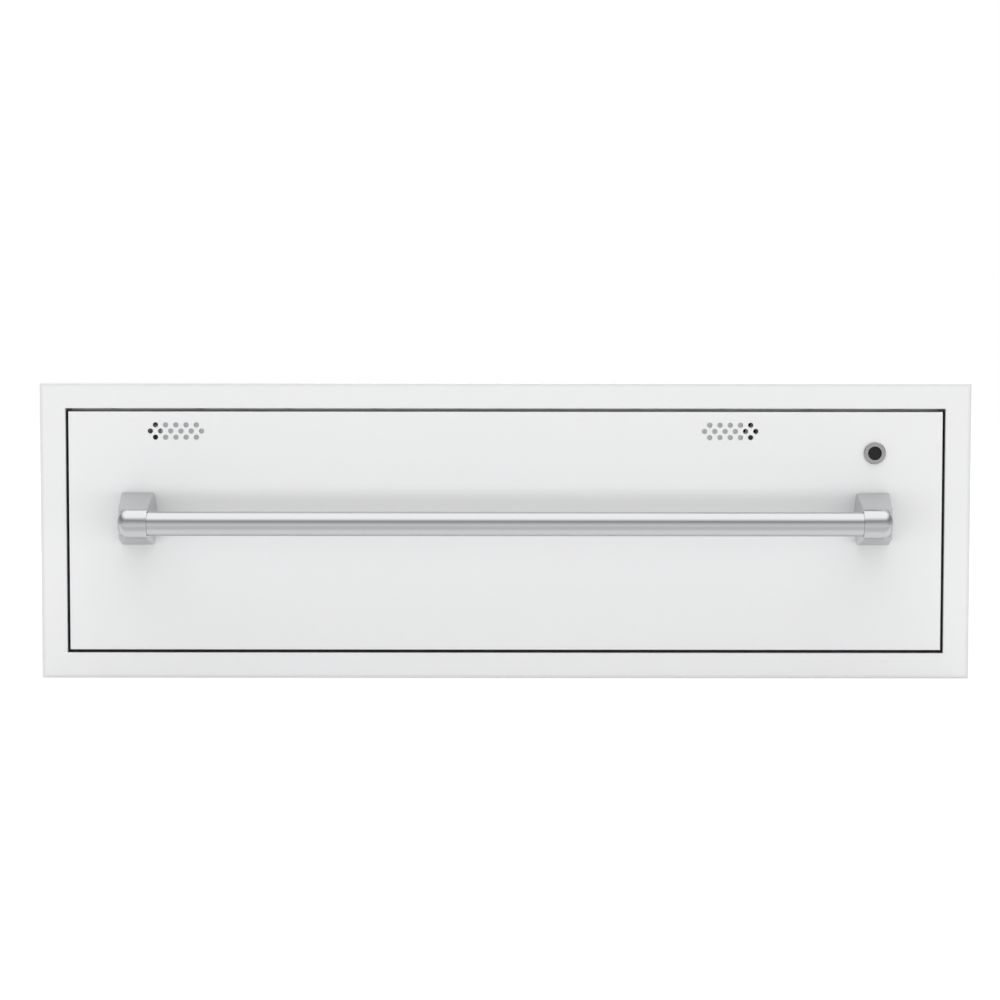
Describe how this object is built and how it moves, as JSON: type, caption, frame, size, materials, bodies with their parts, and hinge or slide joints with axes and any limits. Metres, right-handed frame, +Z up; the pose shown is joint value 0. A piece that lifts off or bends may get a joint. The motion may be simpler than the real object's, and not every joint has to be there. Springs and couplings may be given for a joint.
{
  "type": "built-in warming drawer",
  "caption": "Wide built-in warming drawer with a picture-frame trim, flush white front, tubular chrome handle, sliding moisture vents and a full-extension heated tub.",
  "frame": {"origin": "on the underside of the casing's bottom sheet, on the unit's centre line, level with the cabinet's face", "axes": "+X to the user's right, +Y into the cabinet, +Z up; the drawer opens along -Y"},
  "size_m": [0.762, 0.695, 0.2425],
  "materials": {
    "white_powder_coat": "satin",
    "handle_chrome": "polished",
    "rack_chrome": "bright",
    "galvanised_sheet": "mill",
    "stainless_sheet": "brushed",
    "rail_steel": "zinc plated",
    "slide_zinc": "bright zinc",
    "ball_cage_steel": "bright",
    "fastener_zinc": "bright zinc",
    "element_sheath": "heat darkened",
    "bulb_copper": "bare copper",
    "element_ceramic": "matte",
    "thermostat_case": "moulded",
    "terminal_plastic": "moulded",
    "gland_plastic": "moulded",
    "knob_plastic": "satin",
    "sight_lens_smoked": "smoked",
    "pilot_lens_amber": "clear amber",
    "gasket_rubber": "silicone",
    "wire_silicone": "silicone",
    "mineral_wool": "felted"
  },
  "bodies": {
    "root": {"face_frame": "white_powder_coat", "casing_shell": "galvanised_sheet", "casing_top": "galvanised_sheet", "casing_back": "galvanised_sheet", "casing_screws": "fastener_zinc", "rivets": "fastener_zinc", "front_bulkhead": "stainless_sheet", "control_partition": "galvanised_sheet", "cavity_liner": "stainless_sheet", "insulation_blanket": "mineral_wool", "heating_element": "element_sheath", "element_terminals": "fastener_zinc", "element_ceramics": "element_ceramic", "element_supports": "stainless_sheet", "heat_shield": "stainless_sheet", "thermostat_body": "thermostat_case", "thermostat_bulb": "bulb_copper", "bulb_clips": "rail_steel", "thermostat_capillary": "bulb_copper", "control_recess": "stainless_sheet", "pilot_lamp": "thermostat_case", "pilot_lens": "pilot_lens_amber", "terminal_block": "terminal_plastic", "control_wiring": "wire_silicone", "cable_gland": "gland_plastic", "slide_outer_left": "slide_zinc", "slide_outer_right": "slide_zinc"},
    "drawer": {"drawer_front_skin": "white_powder_coat", "drawer_front_liner": "stainless_sheet", "front_insulation": "mineral_wool", "vent_ducts": "rail_steel", "shutter_guides": "rail_steel", "sight_bezel": "handle_chrome", "sight_nut": "fastener_zinc", "sight_lens": "sight_lens_smoked", "handle_tube": "handle_chrome", "handle_post_left": "handle_chrome", "handle_post_right": "handle_chrome", "handle_bolts": "fastener_zinc", "handle_backings": "rail_steel", "drawer_gasket": "gasket_rubber", "front_bumpers": "gasket_rubber", "drawer_rail_left": "rail_steel", "drawer_rail_right": "rail_steel", "drawer_crossbar": "rail_steel", "drawer_screws": "fastener_zinc", "drawer_tub": "stainless_sheet", "wire_rack": "rack_chrome", "slide_inner_left": "slide_zinc", "slide_inner_right": "slide_zinc"},
    "vent_shutter": {"vent_shutter": "rail_steel"},
    "control_knob": {"control_knob": "knob_plastic", "knob_shaft": "fastener_zinc"},
    "slide_middle_left": {"slide_middle_left": "slide_zinc"},
    "ball_cage_outer_left": {"ball_cage_outer_left": "ball_cage_steel"},
    "ball_cage_inner_left": {"ball_cage_inner_left": "ball_cage_steel"},
    "slide_middle_right": {"slide_middle_right": "slide_zinc"},
    "ball_cage_outer_right": {"ball_cage_outer_right": "ball_cage_steel"},
    "ball_cage_inner_right": {"ball_cage_inner_right": "ball_cage_steel"}
  },
  "joints": [
    {"name": "drawer_slide", "type": "slide", "parent": "root", "child": "drawer", "axis": [0, -1, 0], "range_m": [0, 0.48]},
    {"name": "vent_shutter_slide", "type": "slide", "parent": "drawer", "child": "vent_shutter", "axis": [-1, 0, 0], "range_m": [0, 0.00419]},
    {"name": "control_knob_turn", "type": "hinge", "parent": "root", "child": "control_knob", "pos_m": [0.31875, 0.034, 0.092], "axis": [0, 1, 0], "range_deg": [0, 290]},
    {"name": "slide_middle_left_slide", "type": "slide", "parent": "root", "child": "slide_middle_left", "axis": [0, -1, 0], "range_m": [0, 0.24]},
    {"name": "ball_cage_outer_left_slide", "type": "slide", "parent": "root", "child": "ball_cage_outer_left", "axis": [0, -1, 0], "range_m": [0, 0.12]},
    {"name": "ball_cage_inner_left_slide", "type": "slide", "parent": "root", "child": "ball_cage_inner_left", "axis": [0, -1, 0], "range_m": [0, 0.36]},
    {"name": "slide_middle_right_slide", "type": "slide", "parent": "root", "child": "slide_middle_right", "axis": [0, -1, 0], "range_m": [0, 0.24]},
    {"name": "ball_cage_outer_right_slide", "type": "slide", "parent": "root", "child": "ball_cage_outer_right", "axis": [0, -1, 0], "range_m": [0, 0.12]},
    {"name": "ball_cage_inner_right_slide", "type": "slide", "parent": "root", "child": "ball_cage_inner_right", "axis": [0, -1, 0], "range_m": [0, 0.36]}
  ],
  "couplings": [
    {"joint": "slide_middle_left_slide", "follows": "drawer_slide", "ratio": 0.5},
    {"joint": "ball_cage_outer_left_slide", "follows": "drawer_slide", "ratio": 0.25},
    {"joint": "ball_cage_inner_left_slide", "follows": "drawer_slide", "ratio": 0.75},
    {"joint": "slide_middle_right_slide", "follows": "drawer_slide", "ratio": 0.5},
    {"joint": "ball_cage_outer_right_slide", "follows": "drawer_slide", "ratio": 0.25},
    {"joint": "ball_cage_inner_right_slide", "follows": "drawer_slide", "ratio": 0.75}
  ]
}
